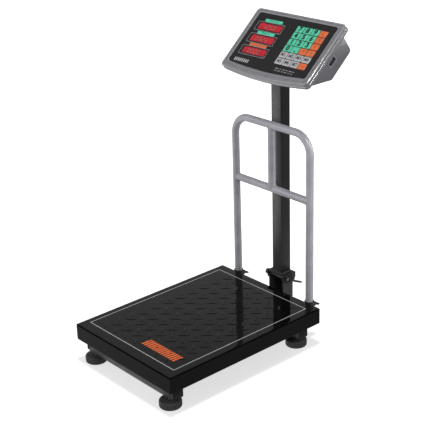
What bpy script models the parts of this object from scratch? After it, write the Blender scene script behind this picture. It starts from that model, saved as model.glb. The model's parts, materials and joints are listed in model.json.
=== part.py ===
"""A platform shipping scale with a folding column, a lift-out guard rail and a price-computing head.

Units are metres, +Z is up and the scale faces -Y. Heights are measured from the floor. Depths (the Y
values below) are measured from the middle of the platform; the scale_origin empty shifts them so that
the world origin lies under the middle of the whole scale.
"""

import math

import bmesh
import bpy
from mathutils import Vector

# ---------------------------------------------------------------- driving dimensions
GAP = 0.0003                      # play between pieces that touch

PAN_WIDTH = 0.300
PAN_DEPTH = 0.400
PAN_TOP = 0.080
PAN_SKIRT = 0.034
PAN_SHEET = 0.002

FRAME_LOW = 0.0185
FRAME_TUBE_HEIGHT = 0.0255
FRAME_TUBE_WIDTH = 0.022
FRAME_MEMBER_LENGTH = 0.272
FRONT_MEMBER_Y = -0.1725          # centre lines of the cross members
REAR_MEMBER_Y = 0.163
ARM_HEIGHT = 0.0265               # low enough to pass under the pan's skirt
ARM_TOP = FRAME_LOW + ARM_HEIGHT

FOOT_X = 0.119
FRONT_FOOT_Y = -0.177
REAR_FOOT_Y = 0.161
FOOT_RADIUS = 0.0225
FOOT_HEIGHT = 0.014
FOOT_TRAVEL = 0.004
STUD_RADIUS = 0.004
STUD_HOLE_RADIUS = STUD_RADIUS + 0.0004
STUD_HOLE_TOP = FRAME_LOW + 0.0205

SPINE_WIDTH = 0.060
SPINE_WALL = 0.0025
CELL_SIZE = (0.030, 0.130, 0.022)
CELL_OFFSET = 0.045               # from the cell's middle to each of its two bolted ends

COLUMN_SIDE = 0.027
COLUMN_WALL = 0.0015
COLUMN_Y = 0.2376

PIVOT_Y = 0.242
PIVOT_Z = 0.092
CLAMP_Y = 0.229
CLAMP_Z = 0.094
BOLT_RADIUS = 0.004

BRACKET_HALF = 0.022              # outside of the bracket's two flanges
BRACKET_FRONT = 0.221
BRACKET_REAR = 0.2495
BRACKET_WALL = 0.003
CHEEK_WALL = 0.003
CHEEK_IN = BRACKET_HALF + 0.0004
CHEEK_OUT = CHEEK_IN + CHEEK_WALL
SEAT_LOW = 0.1005                 # underside of the plate that the column is welded to
SEAT_TOP = SEAT_LOW + 0.003

RAIL_Y = 0.211
RAIL_X = 0.1086
RAIL_RADIUS = 0.008
RAIL_TOP = 0.439
RAIL_BOTTOM = 0.042
RAIL_BEND = 0.040
RAIL_CROSS_Z = 0.301
SOCKET_OUTER = 0.0102
SOCKET_BORE = 0.0083
SOCKET_LOW = 0.038
SOCKET_TOP = 0.079
SOCKET_SCREW_Z = 0.067

HEAD_TILT = math.radians(41.6)
HEAD_FRONT_Y = 0.1831             # lower front edge of the head's face
HEAD_FRONT_Z = 0.550
HEAD_UNDERSIDE = 0.5435
LID_WIDTH = 0.245
LID_LENGTH = 0.151
LID_DEPTH = 0.016
LID_BOW = 0.008
LID_CORNER = 0.008
LID_WALL = 0.003
LID_LIP = 0.013                   # depth of the lid's rear lip, which overhangs the housing
LID_SKIN = 0.0028
RECESS = 0.0016                   # how far the panel's seat lies below the lid's face

PANEL_HALF = 0.1085
PANEL_LOW = 0.015
PANEL_HIGH = 0.140
PANEL_BOW = 0.006
PANEL_SHEET = 0.0008

HOUSING_HALF = 0.1195
HOUSING_WALL = 0.0025
HOUSING_BACK = 0.0565
HOUSING_FRONT = 0.0095            # where the housing's sloped front wall meets the lid
HOUSING_REAR = 0.1325
HOUSING_CORNER = 0.008            # round corner between the housing's back and its rear wall

KEY_PITCH_X = 0.0209
KEY_PITCH_V = 0.0159
KEY_SIZE = (0.0192, 0.0142, 0.0011)
KEY_FIRST_X = 0.0224
KEY_FIRST_V = 0.1183
KEY_HOLE_PLAY = 0.0003
KEY_ROWS = (
    ("key_7", "key_8", "key_9", "key_clear"),
    ("key_4", "key_5", "key_6", "key_tare"),
    ("key_1", "key_2", "key_3", "key_zero"),
    ("key_0", "key_point", "key_light", "key_total"),
    ("key_m1", "key_m2", "key_m3", "key_m4"),
    ("key_m5", "key_m6", "key_m7", "key_add"),
)
GREEN_KEYS = {f"key_{digit}" for digit in range(10)} | {"key_point"}

DISPLAY_X = (-0.096, -0.020)
DISPLAY_V = (0.036, 0.0665, 0.097)
DISPLAY_HEIGHT = 0.0225

BATTERY_SIZE = (0.097, 0.052, 0.024)
DOOR_X = -0.020
DOOR_WIDTH = 0.110
DOOR_V = (0.061, 0.117)
DOOR_SHEET = 0.002

SWITCH_V = 0.0786
SWITCH_N = -0.027
SWITCH_X = 0.1135
SWITCH_REST_TILT = math.radians(6)

# half the depth from the pan's front edge to the rearmost point of the head
MIDDLE_OF_SCALE_Y = 0.05705

DARK = (0.012, 0.012, 0.013, 1)
FRAME_GREY = (0.045, 0.045, 0.047, 1)
ALUMINIUM = (0.45, 0.45, 0.44, 1)
RAIL_GREY = (0.33, 0.33, 0.36, 1)
HOUSING_GREY = (0.24, 0.24, 0.25, 1)
MINT = (0.08, 0.75, 0.38, 1)
ORANGE = (0.86, 0.16, 0.05, 1)
KEY_WHITE = (0.62, 0.62, 0.62, 1)


# ---------------------------------------------------------------- helpers
def material(name, color, roughness, metallic=0.0):
    made = bpy.data.materials.get(name) or bpy.data.materials.new(name)
    made.use_nodes = True
    shader = made.node_tree.nodes["Principled BSDF"]
    shader.inputs["Base Color"].default_value = color
    shader.inputs["Roughness"].default_value = roughness
    shader.inputs["Metallic"].default_value = metallic
    return made


def link(name, data, parent, place=(0, 0, 0), turn=(0, 0, 0), look=None):
    """Put one object in the scene, under its parent empty."""
    obj = bpy.data.objects.new(name, data)
    bpy.context.scene.collection.objects.link(obj)
    obj.parent = parent
    obj.location = place
    obj.rotation_euler = turn
    if look is not None:
        data.materials.append(look)
    return obj


def empty(name, parent=None, place=(0, 0, 0), turn=(0, 0, 0)):
    return link(name, None, parent, place, turn)


def mesh_from(name, bm):
    bmesh.ops.recalc_face_normals(bm, faces=bm.faces)
    mesh = bpy.data.meshes.new(name)
    bm.to_mesh(mesh)
    bm.free()
    return mesh


def round_edges(obj, width, segments=2, angle=35):
    bevel = obj.modifiers.new("round_edges", "BEVEL")
    bevel.width = width
    bevel.segments = segments
    bevel.limit_method = "ANGLE"
    bevel.angle_limit = math.radians(angle)
    return obj


def box(name, size, parent, place, look=None, turn=(0, 0, 0)):
    bm = bmesh.new()
    bmesh.ops.create_cube(bm, size=1)
    bmesh.ops.scale(bm, vec=size, verts=bm.verts)
    return link(name, mesh_from(name, bm), parent, place, turn, look)


def rod(name, radius, length, parent, place, look=None, turn=(0, 0, 0), sides=24):
    """A cylinder along its own Z, centred on its place."""
    bm = bmesh.new()
    bmesh.ops.create_cone(bm, cap_ends=True, segments=sides, radius1=radius, radius2=radius, depth=length)
    return link(name, mesh_from(name, bm), parent, place, turn, look)


def prism(name, outline, thickness, parent, place=(0, 0, 0), turn=(0, 0, 0), look=None):
    """A flat outline in its own XY plane, given its thickness along +Z."""
    bm = bmesh.new()
    face = bm.faces.new([bm.verts.new((x, y, 0)) for x, y in outline])
    raised = bmesh.ops.extrude_face_region(bm, geom=[face])["geom"]
    raised_corners = [item for item in raised if isinstance(item, bmesh.types.BMVert)]
    bmesh.ops.translate(bm, vec=(0, 0, thickness), verts=raised_corners)
    return link(name, mesh_from(name, bm), parent, place, turn, look)


# turns that lay an outline's own axes along the world's: (across, up) -> thickness
OUTLINE_YZ_ALONG_X = (math.pi / 2, 0, math.pi / 2)
OUTLINE_XZ_ALONG_BACK = (math.pi / 2, 0, 0)
ALONG_X = (0, math.pi / 2, 0)
ALONG_Y = (-math.pi / 2, 0, 0)


def turned(name, profile, parent, place, turn=(0, 0, 0), look=None, steps=32):
    """A profile of (radius, height) points, spun about its own Z."""
    bm = bmesh.new()
    points = [bm.verts.new((radius, 0, height)) for radius, height in profile]
    for first, second in zip(points, points[1:]):
        bm.edges.new((first, second))
    mesh = bpy.data.meshes.new(name)
    bm.to_mesh(mesh)
    bm.free()
    obj = link(name, mesh, parent, place, turn, look)
    screw = obj.modifiers.new("turn", "SCREW")
    screw.steps = steps
    screw.render_steps = steps
    screw.use_merge_vertices = True
    screw.merge_threshold = 1e-5
    screw.use_normal_flip = True
    return obj


def tube(name, points, radius, parent, look):
    """A round bar along a list of points, with flat ends."""
    curve = bpy.data.curves.new(name, "CURVE")
    curve.dimensions = "3D"
    curve.bevel_depth = radius
    curve.bevel_resolution = 4
    curve.use_fill_caps = True
    spline = curve.splines.new("POLY")
    spline.points.add(len(points) - 1)
    for target, point in zip(spline.points, points):
        target.co = (*point, 1)
    return link(name, curve, parent, look=look)


def arc(middle, radius, start, end, steps=8):
    """Points on an arc, angles in degrees."""
    angles = [math.radians(start + (end - start) * step / steps) for step in range(steps + 1)]
    return [(middle[0] + radius * math.cos(a), middle[1] + radius * math.sin(a)) for a in angles]


def combine(obj, tool, operation):
    """Cut a helper from an object, or weld it on; the helper stays out of the render."""
    tool.hide_render = True
    tool.hide_set(True)
    step = obj.modifiers.new(f"{operation.lower()}_{tool.name}", "BOOLEAN")
    step.object = tool
    step.operation = operation
    step.solver = "EXACT"
    return obj


def cut(obj, tool):
    return combine(obj, tool, "DIFFERENCE")


def weld(obj, tool):
    return combine(obj, tool, "UNION")


# ---------------------------------------------------------------- lower frame and feet
def cross_member(name, y, foot_y, root, look):
    middle = (0, y, FRAME_LOW + FRAME_TUBE_HEIGHT / 2)
    member = box(name, (FRAME_MEMBER_LENGTH, FRAME_TUBE_WIDTH, FRAME_TUBE_HEIGHT), root, middle, look)
    round_edges(member, 0.0015)
    hole_low = FRAME_LOW - 0.002
    for side in (-1, 1):
        place = (side * FOOT_X, foot_y, (hole_low + STUD_HOLE_TOP) / 2)
        hole = rod(f"{name}_hole_{side}", STUD_HOLE_RADIUS, STUD_HOLE_TOP - hole_low, root, place)
        cut(member, hole)
    return member


def lower_frame(root, look):
    cross_member("front_cross_member", FRONT_MEMBER_Y, FRONT_FOOT_Y, root, look)
    cross_member("rear_cross_member", REAR_MEMBER_Y, REAR_FOOT_Y, root, look)

    spine_front = FRONT_MEMBER_Y + FRAME_TUBE_WIDTH / 2 + GAP
    spine_rear = REAR_MEMBER_Y - FRAME_TUBE_WIDTH / 2 - GAP
    half = SPINE_WIDTH / 2
    inner = half - SPINE_WALL
    high = FRAME_TUBE_HEIGHT
    channel = [(-half, 0), (half, 0), (half, high), (inner, high), (inner, SPINE_WALL), (-inner, SPINE_WALL),
               (-inner, high), (-half, high)]
    prism("spine_channel", channel, spine_rear - spine_front, root, (0, spine_rear, FRAME_LOW),
          OUTLINE_XZ_ALONG_BACK, look)

    arm_front = REAR_MEMBER_Y + FRAME_TUBE_WIDTH / 2 + GAP
    arm_length = BRACKET_REAR - arm_front
    arm = box("column_arm", (0.040, arm_length, ARM_HEIGHT), root,
              (0, arm_front + arm_length / 2, FRAME_LOW + ARM_HEIGHT / 2), look)
    round_edges(arm, 0.0012)


def feet(root, rubber):
    """Four rubber discs on studs, which screw up into the cross members."""
    stud_top = STUD_HOLE_TOP - FOOT_TRAVEL - 0.001
    rim = 0.0015                      # softened edges of the disc
    profile = [(0, 0), (FOOT_RADIUS - rim, 0), (FOOT_RADIUS, rim), (FOOT_RADIUS, FOOT_HEIGHT - rim),
               (FOOT_RADIUS - rim, FOOT_HEIGHT), (STUD_RADIUS, FOOT_HEIGHT), (STUD_RADIUS, stud_top),
               (0, stud_top)]
    for front_rear, y in (("front", FRONT_FOOT_Y), ("rear", REAR_FOOT_Y)):
        for left_right, x in (("left", -FOOT_X), ("right", FOOT_X)):
            name = f"foot_{front_rear}_{left_right}"
            turned(name, profile, empty(f"{name}_axis", root, (x, y, 0)), (0, 0, 0), look=rubber)


# ---------------------------------------------------------------- weighing parts and pan
def weighing_parts(root, aluminium, look):
    floor = FRAME_LOW + SPINE_WALL
    seat_height = 0.0035
    seat_place = (0, -CELL_OFFSET, floor + GAP + seat_height / 2)
    box("load_cell_seat", (0.030, 0.032, seat_height), root, seat_place, aluminium)

    cell_low = floor + seat_height + 2 * GAP
    cell_middle = cell_low + CELL_SIZE[2] / 2
    cell = box("load_cell", CELL_SIZE, root, (0, 0, cell_middle), aluminium)
    round_edges(cell, 0.0008, 1)
    hole_radius = 0.0075
    for side in (-1, 1):
        place = (0, side * 0.011, cell_middle)
        cut(cell, rod(f"cell_hole_{side}", hole_radius, 0.050, root, place, turn=ALONG_X))
    cut(cell, box("cell_slot", (0.050, 0.020, 0.004), root, (0, 0, cell_middle)))

    frame_high = PAN_TOP - PAN_SHEET - GAP
    frame_low = frame_high - 0.014
    arm_x, arm_y, arm_half, spine_half = 0.132, 0.176, 0.014, 0.020
    inner_y = arm_y - 2 * arm_half
    outline = [(-arm_x, -arm_y), (arm_x, -arm_y), (arm_x, -inner_y), (spine_half, -inner_y),
               (spine_half, inner_y), (arm_x, inner_y), (arm_x, arm_y), (-arm_x, arm_y),
               (-arm_x, inner_y), (-spine_half, inner_y), (-spine_half, -inner_y), (-arm_x, -inner_y)]
    upper = prism("upper_frame", outline, frame_high - frame_low, root, (0, 0, frame_low), look=look)
    boss_low = cell_low + CELL_SIZE[2] + GAP
    boss_height = frame_low - boss_low + 0.002
    weld(upper, box("upper_frame_boss", (0.030, 0.032, boss_height), root,
                    (0, CELL_OFFSET, boss_low + boss_height / 2)))


def pan(root, look):
    lift = empty("pan_lift", root)
    bm = bmesh.new()
    bmesh.ops.create_cube(bm, size=1)
    bmesh.ops.scale(bm, vec=(PAN_WIDTH, PAN_DEPTH, PAN_SKIRT), verts=bm.verts)
    underside = [face for face in bm.faces if face.normal.z < -0.5]
    bmesh.ops.delete(bm, geom=underside, context="FACES_ONLY")
    mesh = bpy.data.meshes.new("pan")
    bm.to_mesh(mesh)
    bm.free()
    shell = link("pan", mesh, lift, (0, 0, PAN_TOP - PAN_SKIRT / 2), look=look)
    round_edges(shell, 0.0022, 3)
    thicken = shell.modifiers.new("sheet", "SOLIDIFY")
    thicken.thickness = PAN_SHEET
    thicken.offset = -1
    thicken.use_even_offset = True


# ---------------------------------------------------------------- guard rail
def guard_rail(root, look):
    lift = empty("rail_lift", root)
    bend_z = RAIL_TOP - RAIL_BEND
    bend_x = RAIL_X - RAIL_BEND
    left = [(x, z) for x, z in arc((-bend_x, bend_z), RAIL_BEND, 180, 90, 10)]
    right = [(x, z) for x, z in arc((bend_x, bend_z), RAIL_BEND, 90, 0, 10)]
    path = [(-RAIL_X, RAIL_BOTTOM), *left, *right, (RAIL_X, RAIL_BOTTOM)]
    tube("rail_hoop", [(x, RAIL_Y, z) for x, z in path], RAIL_RADIUS, lift, look)

    reach = RAIL_X - RAIL_RADIUS - GAP
    tube("rail_cross_bar", [(-reach, RAIL_Y, RAIL_CROSS_Z), (reach, RAIL_Y, RAIL_CROSS_Z)],
         RAIL_RADIUS, lift, look)
    low = RAIL_CROSS_Z + RAIL_RADIUS + GAP
    high = RAIL_TOP - RAIL_RADIUS - GAP
    tube("rail_centre_bar", [(0, RAIL_Y, low), (0, RAIL_Y, high)], RAIL_RADIUS, lift, look)


def rail_socket(side_name, side, root, look, dark_plastic):
    """A tube on a tongue that reaches forward to the rear cross member, with a winged screw behind."""
    x = side * RAIL_X
    height = SOCKET_TOP - SOCKET_LOW
    name = f"rail_socket_{side_name}"
    socket = rod(name, SOCKET_OUTER, height, root, (x, RAIL_Y, SOCKET_LOW + height / 2), look)
    tongue_front = REAR_MEMBER_Y + FRAME_TUBE_WIDTH / 2 + GAP
    tongue_length = RAIL_Y - tongue_front
    tongue_height = 0.007
    tongue = box(f"{name}_tongue", (0.016, tongue_length, tongue_height), root,
                 (x, tongue_front + tongue_length / 2, SOCKET_LOW + tongue_height / 2))
    weld(socket, tongue)
    floor = 0.003
    bore_length = SOCKET_TOP - SOCKET_LOW - floor + 0.001
    cut(socket, rod(f"{name}_bore", SOCKET_BORE, bore_length, root,
                    (x, RAIL_Y, SOCKET_LOW + floor + bore_length / 2)))
    cut(socket, rod(f"{name}_screw_hole", 0.0034, 0.012, root,
                    (x, RAIL_Y + SOCKET_OUTER, SOCKET_SCREW_Z), turn=ALONG_Y))

    screw_name = f"rail_screw_{side_name}"
    axis = empty(f"{screw_name}_axis", root, (x, RAIL_Y, SOCKET_SCREW_Z))
    tip = RAIL_RADIUS + 0.0004
    shaft = 0.003
    collar = SOCKET_OUTER + 0.001
    profile = [(0, tip), (shaft, tip), (shaft, collar), (0.0055, collar), (0.0055, collar + 0.005),
               (0, collar + 0.005)]
    screw = turned(screw_name, profile, axis, (0, 0, 0), ALONG_Y, dark_plastic, 20)
    wing = box(f"{screw_name}_wings", (0.020, 0.009, 0.0035), axis, (0, collar + 0.0075, 0))
    round_edges(wing, 0.0012)
    weld(screw, wing)


# ---------------------------------------------------------------- column, its bracket and its hinge
def column_bracket(root, look):
    """An upright channel, open to the front, whose flanges carry the pivot and the clamp bolt's cradle."""
    low = ARM_TOP + GAP
    ear_radius = 0.0075
    cradle_floor = CLAMP_Z - BOLT_RADIUS - 0.0004
    cradle_front = CLAMP_Y - BOLT_RADIUS - 0.0005
    ear = arc((PIVOT_Y, PIVOT_Z), ear_radius, 0, 180, 12)
    lip_top = CLAMP_Z + 0.001
    outline = [(BRACKET_FRONT, low), (BRACKET_REAR, low), *ear, (PIVOT_Y - ear_radius, cradle_floor),
               (cradle_front, cradle_floor), (cradle_front, lip_top), (BRACKET_FRONT, lip_top)]
    bracket = prism("column_bracket", outline, 2 * BRACKET_HALF, root, (-BRACKET_HALF, 0, 0),
                    OUTLINE_YZ_ALONG_X, look)
    inside_front = BRACKET_FRONT - 0.005
    inside_rear = BRACKET_REAR - BRACKET_WALL
    inside_low = low + BRACKET_WALL
    inside_height = 0.060
    cut(bracket, box("bracket_inside",
                     (2 * (BRACKET_HALF - BRACKET_WALL), inside_rear - inside_front, inside_height), root,
                     (0, (inside_front + inside_rear) / 2, inside_low + inside_height / 2)))
    pivot = (0, PIVOT_Y, PIVOT_Z)
    cut(bracket, rod("bracket_pivot_hole", BOLT_RADIUS + 0.0003, 0.060, root, pivot, turn=ALONG_X))

    head_in = CHEEK_OUT + 0.0004
    head_out = head_in + 0.005
    profile = [(0, -head_out), (0.0065, -head_out), (0.0065, -head_in), (BOLT_RADIUS, -head_in),
               (BOLT_RADIUS, head_in), (0.0065, head_in), (0.0065, head_out), (0, head_out)]
    turned("pivot_bolt", profile, root, pivot, ALONG_X, look, 24)


def column(root, look):
    """Everything that folds: the empty lies on the pivot."""
    fold = empty("column_fold", root, (0, PIVOT_Y, PIVOT_Z))
    base = empty("column_frame", fold, (0, -PIVOT_Y, -PIVOT_Z))

    front, rear, low = 0.2195, 0.2545, 0.0840
    corner = 0.007
    cheek = [*arc((front + corner, low + corner), corner, 180, 270, 6),
             *arc((PIVOT_Y + 0.0025, low + 0.010), 0.010, 270, 360, 6), (rear, SEAT_TOP), (front, SEAT_TOP)]
    name = "column_foot"
    seat = prism(name, cheek, 2 * CHEEK_OUT, base, (-CHEEK_OUT, 0, 0), OUTLINE_YZ_ALONG_X, look)
    cut(seat, box("foot_inside", (2 * CHEEK_IN, 0.060, 0.040), base, (0, PIVOT_Y, SEAT_LOW - 0.020)))
    for hole_name, y, z in (("foot_pivot_hole", PIVOT_Y, PIVOT_Z), ("foot_clamp_hole", CLAMP_Y, CLAMP_Z)):
        cut(seat, rod(hole_name, BOLT_RADIUS + 0.0003, 0.080, base, (0, y, z), turn=ALONG_X))

    column_low = SEAT_TOP + GAP
    socket_plate = 0.0025
    column_high = HEAD_UNDERSIDE - socket_plate - 2 * GAP
    tube_height = column_high - column_low
    post = box("column_tube", (COLUMN_SIDE, COLUMN_SIDE, tube_height), base,
               (0, COLUMN_Y, column_low + tube_height / 2), look)
    round_edges(post, 0.001)
    inside = COLUMN_SIDE - 2 * COLUMN_WALL
    cut(post, box("column_bore", (inside, inside, tube_height + 0.02), base,
                  (0, COLUMN_Y, column_low + tube_height / 2)))

    plate_middle = HEAD_UNDERSIDE - GAP - socket_plate / 2
    pole_socket = box("pole_socket", (0.040, 0.038, socket_plate), base, (0, COLUMN_Y, plate_middle), look)
    spigot_side = inside - 0.0008
    spigot_length = 0.035
    weld(pole_socket, box("pole_spigot", (spigot_side, spigot_side, spigot_length), base,
                          (0, COLUMN_Y, plate_middle - spigot_length / 2)))

    clamp_lever(base, look)
    return base


def clamp_lever(base, look):
    """The clamp bolt with its hub on the right, its long head on the left and a thin handle."""
    axis = empty("clamp_axis", base, (0, CLAMP_Y, CLAMP_Z))
    head_radius = 0.0062
    head_in = CHEEK_OUT + 0.0004
    head_out = head_in + 0.010
    hub_out = head_in + 0.009
    profile = [(0, -head_out), (head_radius, -head_out), (head_radius, -head_in), (BOLT_RADIUS, -head_in),
               (BOLT_RADIUS, head_in), (head_radius, head_in), (head_radius, hub_out), (0, hub_out)]
    lever = turned("clamp_lever", profile, axis, (0, 0, 0), ALONG_X, look, 24)
    start = Vector((hub_out - 0.004, 0, 0))
    end = Vector((0.064, 0.006, 0.004))
    along = end - start
    handle = rod("clamp_handle", 0.0024, along.length, axis, (start + end) / 2,
                 turn=along.to_track_quat("Z", "Y").to_euler(), sides=12)
    weld(lever, handle)


# ---------------------------------------------------------------- head
def face_outline(half, low, high, corner, bow):
    """A rounded rectangle, as (across, up the slope), whose lower edge bulges by the bow."""
    points = [*arc((half - corner, high - corner), corner, 0, 90, 5),
              *arc((-half + corner, high - corner), corner, 90, 180, 5),
              *arc((-half + corner, low + corner), corner, 180, 270, 5)]
    steps = 14
    span = half - corner
    for step in range(1, steps):
        x = -span + 2 * span * step / steps
        points.append((x, low - bow * (1 - (x / span) ** 2)))
    points += arc((half - corner, low + corner), corner, 270, 360, 5)
    return points


def slab(name, outline, low, high, head, look=None):
    """An outline on the head's face, filled between two depths below it."""
    return prism(name, outline, high - low, head, (0, 0, low), look=look)


def rectangle(x_low, x_high, v_low, v_high):
    return [(x_low, v_low), (x_high, v_low), (x_high, v_high), (x_low, v_high)]


def key_places():
    for row, names in enumerate(KEY_ROWS):
        for column_index, name in enumerate(names):
            yield name, KEY_FIRST_X + column_index * KEY_PITCH_X, KEY_FIRST_V - row * KEY_PITCH_V


def lid(head, look):
    """The upper shell: a hollow slab with a seat for the panel and a window for the displays."""
    outline = face_outline(LID_WIDTH / 2, 0, LID_LENGTH, LID_CORNER, LID_BOW)
    shell = slab("head_lid", outline, -LID_DEPTH, 0, head, look)
    round_edges(shell, 0.0025, 3)
    skin = -RECESS - LID_SKIN
    hollow = face_outline(LID_WIDTH / 2 - LID_WALL, LID_WALL, LID_LENGTH - LID_WALL,
                          LID_CORNER - LID_WALL, LID_BOW)
    cut(shell, slab("lid_hollow", hollow, -LID_LIP, skin, head))
    mouth_half = HOUSING_HALF - 0.001
    mouth = rectangle(-mouth_half, mouth_half, HOUSING_FRONT + 0.001, HOUSING_REAR - 0.0015)
    cut(shell, slab("lid_mouth", mouth, -LID_DEPTH - 0.002, skin - 0.001, head))
    seat = face_outline(PANEL_HALF + GAP, PANEL_LOW - GAP, PANEL_HIGH + GAP, 0.005, PANEL_BOW)
    cut(shell, slab("lid_seat", seat, -RECESS, 0.002, head))
    window = rectangle(DISPLAY_X[0] - 0.002, DISPLAY_X[1] + 0.002, DISPLAY_V[0] - 0.002,
                       DISPLAY_V[-1] + DISPLAY_HEIGHT + 0.002)
    cut(shell, slab("lid_window", window, -0.008, 0.002, head))


def panel(head, look):
    """The printed front sheet, with one hole for each key."""
    outline = face_outline(PANEL_HALF, PANEL_LOW, PANEL_HIGH, 0.005, PANEL_BOW)
    low = -RECESS + GAP
    sheet = slab("panel_overlay", outline, low, low + PANEL_SHEET, head, look)
    half_x = KEY_SIZE[0] / 2 + KEY_HOLE_PLAY
    half_v = KEY_SIZE[1] / 2 + KEY_HOLE_PLAY
    for name, x, v in key_places():
        cut(sheet, slab(f"{name}_hole", rectangle(x - half_x, x + half_x, v - half_v, v + half_v),
                        low - 0.001, low + PANEL_SHEET + 0.001, head))


def keys(head, green, orange, white):
    """Each key rests half a millimetre above the lid's seat, and its empty lies at its middle."""
    bottom = -RECESS + 0.0005
    for name, x, v in key_places():
        look = green if name in GREEN_KEYS else white if name.startswith("key_m") else orange
        press = empty(f"{name}_press", head, (x, v, bottom))
        cap = box(name, KEY_SIZE, press, (0, 0, KEY_SIZE[2] / 2), look)
        round_edges(cap, 0.0003, 1)


def display_board(head, look):
    """The circuit board under the lid, with its three display modules standing up into the window."""
    board_high = -0.0122
    board_outline = rectangle(-0.100, 0.100, 0.018, 0.124)
    board = slab("display_board", board_outline, board_high - 0.0016, board_high, head, look)
    for index, v in enumerate(DISPLAY_V):
        block = slab(f"display_block_{index}",
                     rectangle(DISPLAY_X[0], DISPLAY_X[1], v, v + DISPLAY_HEIGHT), board_high - 0.0008,
                     -RECESS - GAP, head)
        weld(board, block)


def rear_housing(head, look):
    """The wedge under the lid: its sloped front wall is level once the head is tilted."""
    top = -LID_DEPTH - GAP
    slope = 1 / math.tan(HEAD_TILT)
    depth = HOUSING_BACK + top
    lean = 0.003
    wall = HOUSING_WALL
    round_middle = (HOUSING_REAR - lean - HOUSING_CORNER, -HOUSING_BACK + HOUSING_CORNER)
    outline = [(HOUSING_FRONT, top), (HOUSING_FRONT + depth * slope, -HOUSING_BACK),
               *arc(round_middle, HOUSING_CORNER, 270, 360, 6), (HOUSING_REAR, top)]
    shell = prism("head_rear_housing", outline, 2 * HOUSING_HALF, head, (-HOUSING_HALF, 0, 0),
                  OUTLINE_YZ_ALONG_X, look)
    round_edges(shell, 0.003, 3)

    sloped_wall = wall / math.sin(HEAD_TILT)
    inner_top = top + 0.002
    inner_back = -HOUSING_BACK + wall
    inner_front = HOUSING_FRONT + sloped_wall
    inner = [(inner_front - 0.002 * slope, inner_top), (inner_front + (top - inner_back) * slope, inner_back),
             *arc(round_middle, HOUSING_CORNER - wall, 270, 360, 6), (HOUSING_REAR - wall, inner_top)]
    half = HOUSING_HALF - wall
    cut(shell, prism("housing_hollow", inner, 2 * half, head, (-half, 0, 0), OUTLINE_YZ_ALONG_X))

    play = 0.0004
    door_hole = rectangle(DOOR_X - DOOR_WIDTH / 2 - play, DOOR_X + DOOR_WIDTH / 2 + play,
                          DOOR_V[0] - play, DOOR_V[1] + play)
    cut(shell, slab("door_hole", door_hole, -HOUSING_BACK - 0.002, -HOUSING_BACK + 0.006, head))
    cut(shell, box("switch_hole", (0.010, 0.0210, 0.0130), head, (HOUSING_HALF, SWITCH_V, SWITCH_N)))


def battery_parts(head, dark_plastic, look):
    middle_v = (DOOR_V[0] + DOOR_V[1]) / 2
    low = -HOUSING_BACK + 0.006
    cell = box("battery", BATTERY_SIZE, head, (DOOR_X, middle_v, low + BATTERY_SIZE[2] / 2), dark_plastic)
    round_edges(cell, 0.0015)

    hinge = empty("battery_door_hinge", head, (DOOR_X, DOOR_V[0], -HOUSING_BACK))
    length = DOOR_V[1] - DOOR_V[0]
    door = box("battery_door", (DOOR_WIDTH, length, DOOR_SHEET), hinge, (0, length / 2, DOOR_SHEET / 2), look)
    round_edges(door, 0.0004, 1)


def power_switch(head, look):
    """A rocker that rests with its lower half pressed in."""
    pivot = empty("power_switch_axis", head, (SWITCH_X, SWITCH_V, SWITCH_N), (0, 0, SWITCH_REST_TILT))
    rocker = box("power_switch", (0.010, 0.0188, 0.0118), pivot, (0.002, 0, 0), look)
    round_edges(rocker, 0.0006)


# ---------------------------------------------------------------- assembly
def build():
    for obj in list(bpy.data.objects):
        bpy.data.objects.remove(obj, do_unlink=True)

    black_enamel = material("black_enamel", DARK, 0.18)
    black_steel = material("black_steel", DARK, 0.45)
    grey_steel = material("grey_steel", FRAME_GREY, 0.5)
    aluminium = material("aluminium", ALUMINIUM, 0.4, 1)
    rail_paint = material("rail_paint", RAIL_GREY, 0.4)
    rubber = material("rubber", DARK, 0.8)
    housing_plastic = material("housing_plastic", HOUSING_GREY, 0.45)
    black_plastic = material("black_plastic", DARK, 0.5)
    panel_print = material("panel_print", DARK, 0.35)
    board_green = material("board_green", (0.02, 0.12, 0.05, 1), 0.5)
    mint = material("mint_key", MINT, 0.5)
    orange = material("orange_key", ORANGE, 0.5)
    white = material("white_key", KEY_WHITE, 0.5)

    root = empty("scale_origin", place=(0, -MIDDLE_OF_SCALE_Y, 0))
    lower_frame(root, grey_steel)
    feet(root, rubber)
    weighing_parts(root, aluminium, grey_steel)
    pan(root, black_enamel)
    guard_rail(root, rail_paint)
    for side_name, side in (("left", -1), ("right", 1)):
        rail_socket(side_name, side, root, black_steel, black_plastic)
    column_bracket(root, black_steel)
    column_frame = column(root, black_steel)

    head = empty("head_face", column_frame, (0, HEAD_FRONT_Y, HEAD_FRONT_Z), (HEAD_TILT, 0, 0))
    lid(head, housing_plastic)
    panel(head, panel_print)
    keys(head, mint, orange, white)
    display_board(head, board_green)
    rear_housing(head, housing_plastic)
    battery_parts(head, black_plastic, housing_plastic)
    power_switch(head, black_plastic)


build()
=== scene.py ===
"""Looks of the platform shipping scale: materials, fine geometry, floor, lights and camera.

Units are metres and +Z is up. The face frame is that of the head's panel: x across, v up the slope,
n out of the face.
"""

import json
import math

import bmesh
import bpy
from mathutils import Matrix, Quaternion, Vector

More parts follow.
